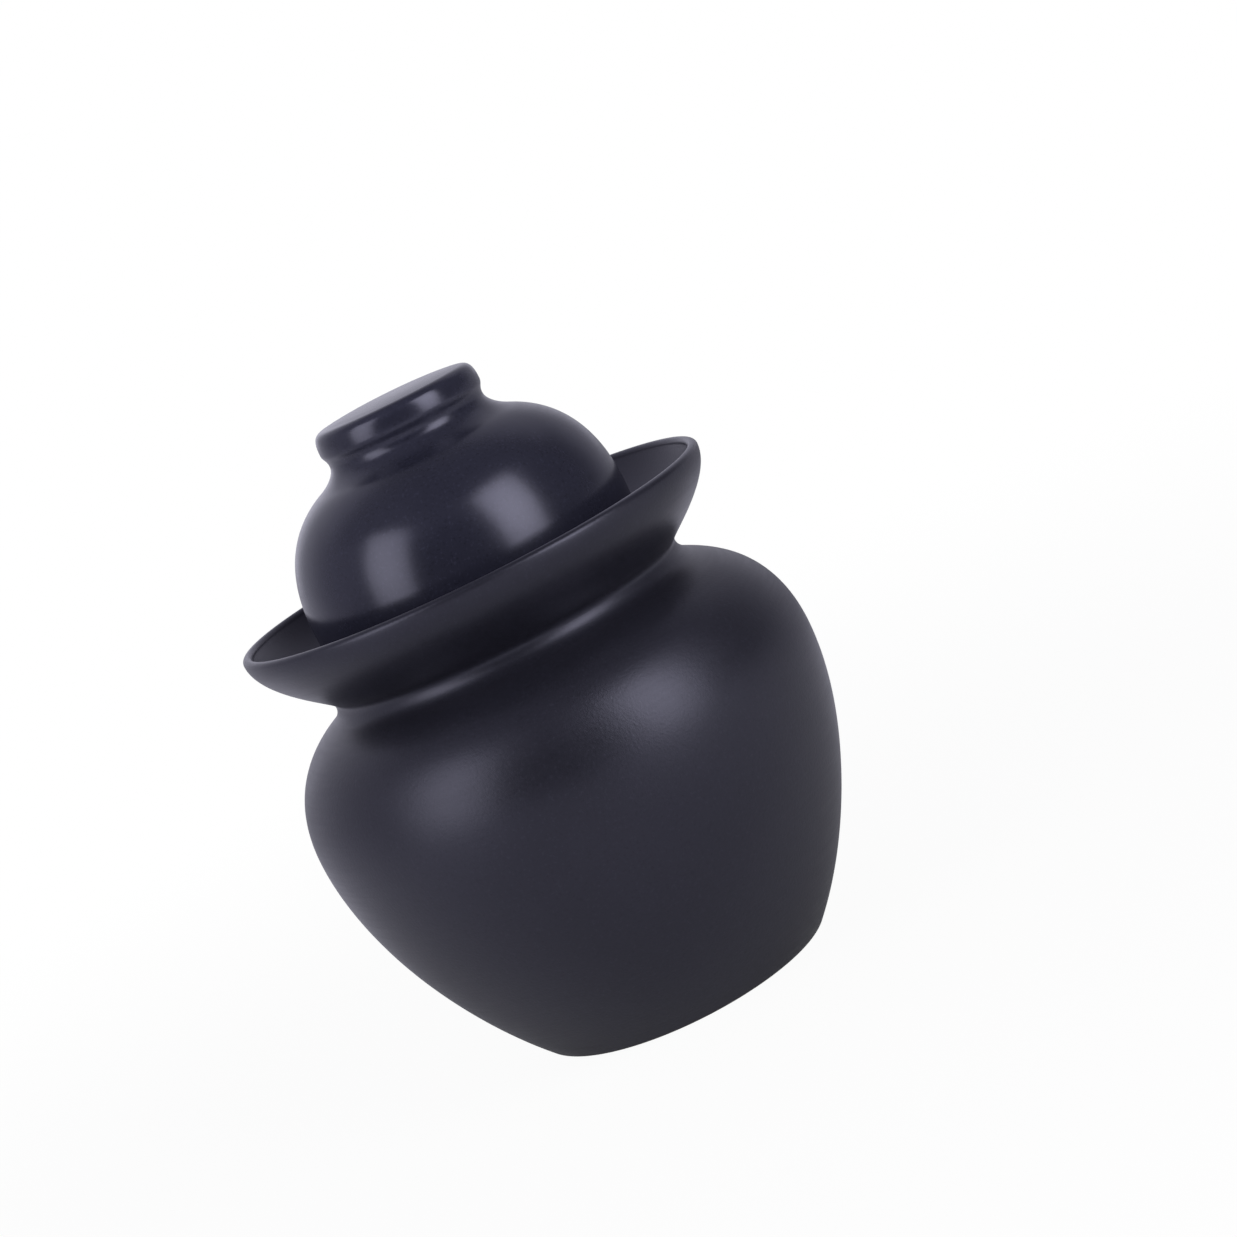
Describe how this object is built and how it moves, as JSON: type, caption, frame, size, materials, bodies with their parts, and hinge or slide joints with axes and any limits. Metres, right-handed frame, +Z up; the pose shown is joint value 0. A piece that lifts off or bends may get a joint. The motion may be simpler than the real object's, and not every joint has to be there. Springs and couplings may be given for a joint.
{
  "type": "water-sealed pickling jar",
  "caption": "Round-bellied dark stoneware fermenting jar with a saucer-shaped water channel, an inverted-bowl lid standing in it and an inner lid on the mouth.",
  "frame": {"origin": "centre of the circle that the jar stands on, at the height of the ground", "axes": "+Z up along the jar's axis of turning, from the foot towards the lid's knob; +X and +Y are free, because every piece is round"},
  "size_m": [0.1484, 0.1484, 0.1814],
  "materials": {
    "jar_stoneware": "matt charcoal stoneware, fine grain",
    "channel_stoneware": "matt charcoal stoneware, fine grain",
    "inner_lid_stoneware": "matt charcoal stoneware",
    "bowl_lid_stoneware": "satin charcoal stoneware, smoother than the body"
  },
  "bodies": {
    "jar": {"jar_body": "jar_stoneware", "water_channel": "channel_stoneware"},
    "inner_cover": {"inner_lid": "inner_lid_stoneware"},
    "outer_cover": {"bowl_lid": "bowl_lid_stoneware"}
  },
  "joints": [
    {"name": "inner_lid_lift", "type": "slide", "parent": "jar", "child": "inner_cover", "axis": [0, 0, 1], "range_m": [0, 0.045]},
    {"name": "bowl_lid_lift", "type": "slide", "parent": "inner_cover", "child": "outer_cover", "axis": [0, 0, 1], "range_m": [0, 0.065]}
  ]
}
